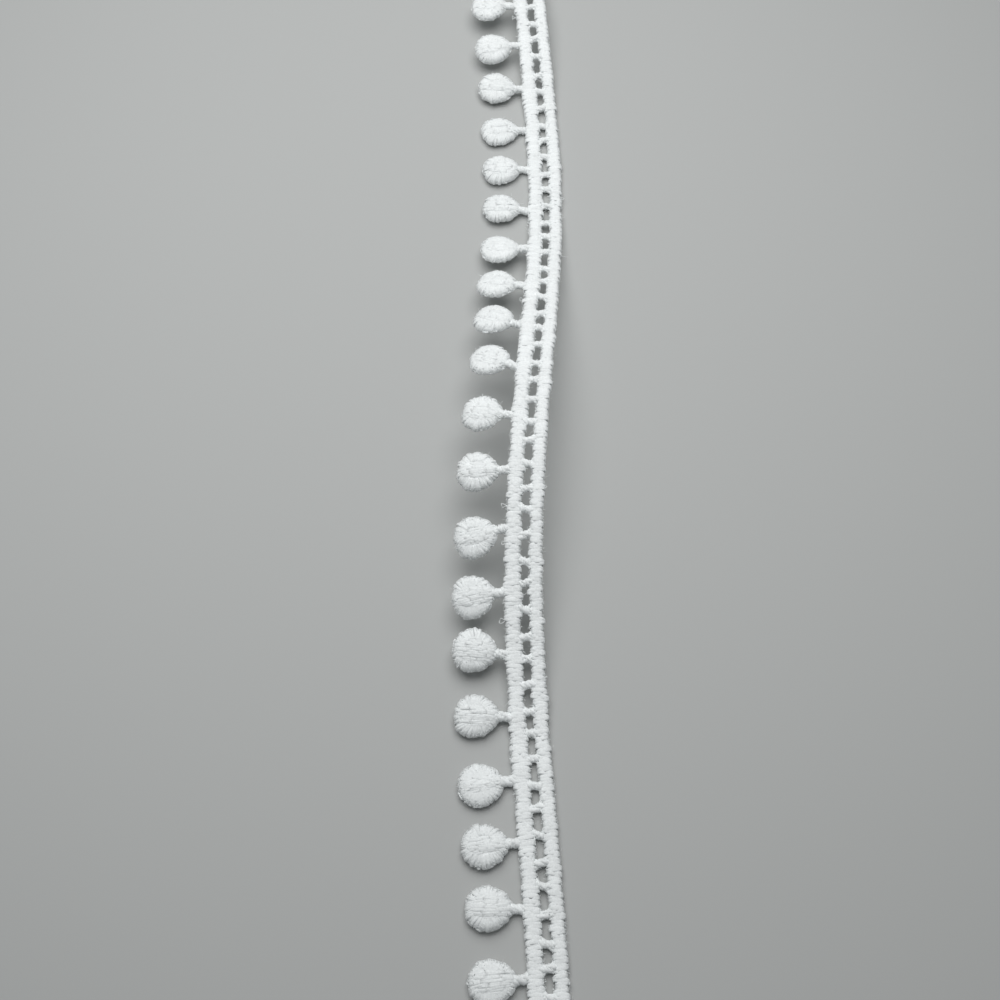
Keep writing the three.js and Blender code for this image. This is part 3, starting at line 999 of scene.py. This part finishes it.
class Value:
    """A shader socket that can stand in sums: an expression on values adds its Math nodes."""

    def __init__(self, tree, socket=None):
        self.tree = tree
        self.socket = socket

    def node(self, kind, settings, sockets, output=0):
        """Adds a node, with its settings and the values or links of its sockets, and wraps one output."""
        made = self.tree.nodes.new(kind)
        for name, value in settings.items():
            setattr(made, name, value)
        for name, value in sockets.items():
            if isinstance(value, Value):
                self.tree.links.new(value.socket, made.inputs[name])
            else:
                made.inputs[name].default_value = value
        return Value(self.tree, made.outputs[output] if made.outputs else None)

    def other(self, output):
        """Wraps another output of the same node."""
        return Value(self.tree, self.socket.node.outputs[output])

    def math(self, operation, *values):
        return self.node("ShaderNodeMath", {"operation": operation}, dict(enumerate(values)))

    def __add__(self, other):
        return self.math("ADD", self, other)

    def __radd__(self, other):
        return self.math("ADD", other, self)

    def __sub__(self, other):
        return self.math("SUBTRACT", self, other)

    def __rsub__(self, other):
        return self.math("SUBTRACT", other, self)

    def __mul__(self, other):
        return self.math("MULTIPLY", self, other)

    def __rmul__(self, other):
        return self.math("MULTIPLY", other, self)

    def sine(self):
        return self.math("SINE", self)


def new_material(name):
    """An empty node material and a value to start its expressions from."""
    material = bpy.data.materials.new(name)
    material.use_nodes = True
    material.node_tree.nodes.clear()
    return material, Value(material.node_tree)


def finish_material(graph, shader):
    """Links a shader to the material's output."""
    graph.node("ShaderNodeOutputMaterial", {}, {"Surface": shader})


def thread_material(looks):
    """White polyester thread: two plies' twist and fine filaments along it, each stitch of its own tone, and
    a fine mottle of painted shade between the filaments.
    """
    material, graph = new_material(THREAD)
    uv = graph.node("ShaderNodeUVMap", {"uv_map": UV_MAP}, {})
    along = graph.node("ShaderNodeSeparateXYZ", {}, {"Vector": uv}, output="X")
    turns = along * THREAD_TWIST["along"] + along.other("Y") * THREAD_TWIST["round"]
    twist = (turns * FULL_TURN).sine()
    stretched = graph.node("ShaderNodeMapping", {}, {"Vector": uv, "Scale": FILAMENT_SCALE})
    place = graph.node("ShaderNodeTexCoord", {}, {}, output="Object")

    def noise(vector, scale, detail):
        return graph.node("ShaderNodeTexNoise", {}, {"Vector": vector, "Scale": scale, "Detail": detail})

    filaments = noise(stretched, scale=1.0, detail=2.0)
    blotches = noise(place, BLOTCH_SCALE, detail=3.0)
    pebbles_and_painted_shade = noise(place, PEBBLE_SCALE, detail=2.0)
    tone = graph.node("ShaderNodeAttribute", {"attribute_name": TONE}, {}, output="Fac")
    # The pebble noise also darkens and lightens the colour: painted shade between the filaments, besides its
    # bumps below.
    level = TONE_SHARES["even"] + blotches * TONE_SHARES["blotches"] + pebbles_and_painted_shade * TONE_SHARES["pebbles_and_painted_shade"]
    colour = graph.node(
        "ShaderNodeMix",
        {"data_type": "RGBA", "blend_type": "MULTIPLY"},
        {"Factor": 1.0, "A": (*looks.colour, 1.0), "B": tone * level},
        output="Result",
    )
    height = twist * RELIEF["twist"] + filaments * RELIEF["filaments"] + pebbles_and_painted_shade * RELIEF["pebbles_and_painted_shade"]
    bump = graph.node("ShaderNodeBump", {}, {"Strength": 0.35, "Distance": 0.06 * MM, "Height": height})
    shader = graph.node(
        "ShaderNodeBsdfPrincipled",
        {},
        {
            "Base Color": colour,
            "Roughness": looks.roughness + (filaments - NOISE_MEAN) * ROUGHNESS_SPREAD,
            "Normal": bump,
            "Sheen Weight": looks.sheen,
            "Sheen Roughness": 0.5,
            "Specular IOR Level": 0.3,
        },
    )
    finish_material(graph, shader)
    return material


# Operators


class StitchBars(bpy.types.Operator):
    """Covers both bars of the heading with satin stitches"""

    bl_idname = "lace_trim.stitch_bars"
    bl_label = "Stitch the bars"

    def execute(self, context):
        lace = context.scene.lace_sizes
        for name in bar_sizes(lace):
            rng = np.random.default_rng(SEEDS[name])
            add_piece(context, f"{name}_bar_stitches", bar_stitches(lace, name, rng))
        return {"FINISHED"}


class TwistCords(bpy.types.Operator):
    """Twists the rungs and the dots' necks, and pulls out the loose loops"""

    bl_idname = "lace_trim.twist_cords"
    bl_label = "Twist rungs and necks"

    def execute(self, context):
        lace = context.scene.lace_sizes
        rng = np.random.default_rng(SEEDS["cords"])
        add_piece(context, "rung_cords", [bundle(rings, rng) for rings in rung_threads(lace, rng)])
        add_piece(context, "neck_cords", [bundle(rings, rng) for rings in neck_threads(lace, rng)])
        add_piece(context, "loose_loops", [bundle(loop_threads(lace, rng), rng)])
        return {"FINISHED"}


class StitchDots(bpy.types.Operator):
    """Covers the padded dots with rim stitches and raised crowns"""

    bl_idname = "lace_trim.stitch_dots"
    bl_label = "Stitch the dots"

    def execute(self, context):
        lace = context.scene.lace_sizes
        rng = np.random.default_rng(SEEDS["dots"])
        add_piece(context, "dot_rims", [bundle(dot_threads(lace, DOT_FACES["top"], rng), rng)])
        add_piece(context, "dot_backs", [bundle(dot_threads(lace, DOT_FACES["underside"], rng), rng)])
        add_piece(context, "dot_crowns", [bundle(crown_threads(lace, rng), rng)])
        return {"FINISHED"}


class AddFibres(bpy.types.Operator):
    """Lets loose fibres stand off the bars, the rungs and the dots"""

    bl_idname = "lace_trim.add_fibres"
    bl_label = "Add stray fibres"

    def execute(self, context):
        lace = context.scene.lace_sizes
        rng = np.random.default_rng(SEEDS["fibres"])
        heading = [bar_fibres(lace, name, FIBRES["bar"], rng) for name in bar_sizes(lace)]
        heading.append(rung_fibres(lace, FIBRES["rung"], rng))
        add_piece(context, "heading_fibres", [bundle(rings) for rings in heading])
        add_piece(context, "dot_fibres", [bundle(dot_fibres(lace, FIBRES["dot"], rng))])
        return {"FINISHED"}


class AddPadding(bpy.types.Operator):
    """Adds the padding under the stitches, and hides the imported trim. Adds the
    padding under the stitches, which stands for the trim as one sheet
    """

    bl_idname = "lace_trim.add_padding"
    bl_label = "Add the padding"

    def execute(self, context):
        lace = context.scene.lace_sizes
        cores = [bar_padding(lace, name) for name in bar_sizes(lace)]
        cores += [dot_padding(lace), cord_padding(lace)]
        padding = add_piece(context, "lace_padding", [bundle(rings) for rings in cores])
        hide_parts(NODE)
        return {"FINISHED"}


class SetStage(bpy.types.Operator):
    """Adds the floor, the soft lights and the camera"""

    bl_idname = "lace_trim.set_stage"
    bl_label = "Set the stage"

    def execute(self, context):
        stage = context.scene.lace_stage
        add_floor(context, stage)
        add_lights(context, stage)
        add_camera(context, stage)
        return {"FINISHED"}


# Stage

FLOOR_HALF = 3.0
FLOOR_ROUGHNESS = 0.7
KEY_PLACE = Vector((-0.022, 0.095, 0.25))
KEY_SIZE = 0.36
FILL_COLOUR = (0.95, 0.98, 1.0, 1.0)
CLIP_START = 0.01


def add_floor(context, stage):
    """A plain pale floor, wide enough to fill every view."""
    corners = [(-1, -1), (1, -1), (1, 1), (-1, 1)]
    mesh = bpy.data.meshes.new("floor")
    mesh.from_pydata([(FLOOR_HALF * x, FLOOR_HALF * y, 0) for x, y in corners], [], [(0, 1, 2, 3)])
    floor = bpy.data.objects.new("floor", mesh)
    material, graph = new_material("floor")
    looks = {"Base Color": (*stage.floor_colour, 1.0), "Roughness": FLOOR_ROUGHNESS}
    finish_material(graph, graph.node("ShaderNodeBsdfPrincipled", {}, looks))
    mesh.materials.append(material)
    context.scene.collection.objects.link(floor)


def add_aimed(context, name, data, place, way):
    """A light or a camera at a place, turned to look along a way."""
    aimed = bpy.data.objects.new(name, data)
    aimed.location = place
    aimed.rotation_mode = "QUATERNION"
    aimed.rotation_quaternion = way.to_track_quat("-Z", "Y")
    context.scene.collection.objects.link(aimed)
    return aimed


def add_lights(context, stage):
    """One large soft light above the trim, a little to its far side, and even light from all round."""
    light = bpy.data.lights.new("key", "AREA")
    light.shape = "DISK"
    light.size = KEY_SIZE
    light.energy = stage.key_power
    key = add_aimed(context, "key", light, KEY_PLACE, -KEY_PLACE)
    key.visible_camera = False
    world = bpy.data.worlds.new("studio")
    world.use_nodes = True
    background = world.node_tree.nodes["Background"]
    background.inputs["Color"].default_value = FILL_COLOUR
    background.inputs["Strength"].default_value = stage.fill
    context.scene.world = world
    context.scene.view_settings.view_transform = "Standard"


def add_camera(context, stage):
    """A camera that looks along the trim from above."""
    lens = bpy.data.cameras.new("camera")
    lens.lens = lens.sensor_width / 2 / math.tan(stage.view_angle / 2)
    lens.clip_start = CLIP_START
    back = Vector((0, -math.cos(stage.elevation), math.sin(stage.elevation)))
    place = Vector(stage.target) + stage.distance * back
    context.scene.camera = add_aimed(context, "camera", lens, place, -back)


# Add-on


class LacePanel(bpy.types.Panel):
    """Lists the steps that make the trim"""

    bl_idname = "VIEW3D_PT_lace_trim"
    bl_label = "Lace trim"
    bl_space_type = "VIEW_3D"
    bl_region_type = "UI"
    bl_category = "Lace trim"

    def draw(self, context):
        for step in STEPS:
            self.layout.operator(step.bl_idname)


STEPS = [StitchBars, TwistCords, StitchDots, AddFibres, AddPadding, SetStage]
CLASSES = [LaceSizes, LaceThread, LaceStage, *STEPS, LacePanel]


def register():
    for each in CLASSES:
        bpy.utils.register_class(each)
    bpy.types.Scene.lace_sizes = PointerProperty(type=LaceSizes)
    bpy.types.Scene.lace_thread = PointerProperty(type=LaceThread)
    bpy.types.Scene.lace_stage = PointerProperty(type=LaceStage)


def unregister():
    del bpy.types.Scene.lace_sizes
    del bpy.types.Scene.lace_thread
    del bpy.types.Scene.lace_stage
    for each in reversed(CLASSES):
        bpy.utils.unregister_class(each)


def main():
    """Makes the trim and its stage."""
    register()
    bpy.ops.lace_trim.stitch_bars()
    bpy.ops.lace_trim.twist_cords()
    bpy.ops.lace_trim.stitch_dots()
    bpy.ops.lace_trim.add_fibres()
    bpy.ops.lace_trim.add_padding()
    bpy.ops.lace_trim.set_stage()


if __name__ == "__main__":
    main()
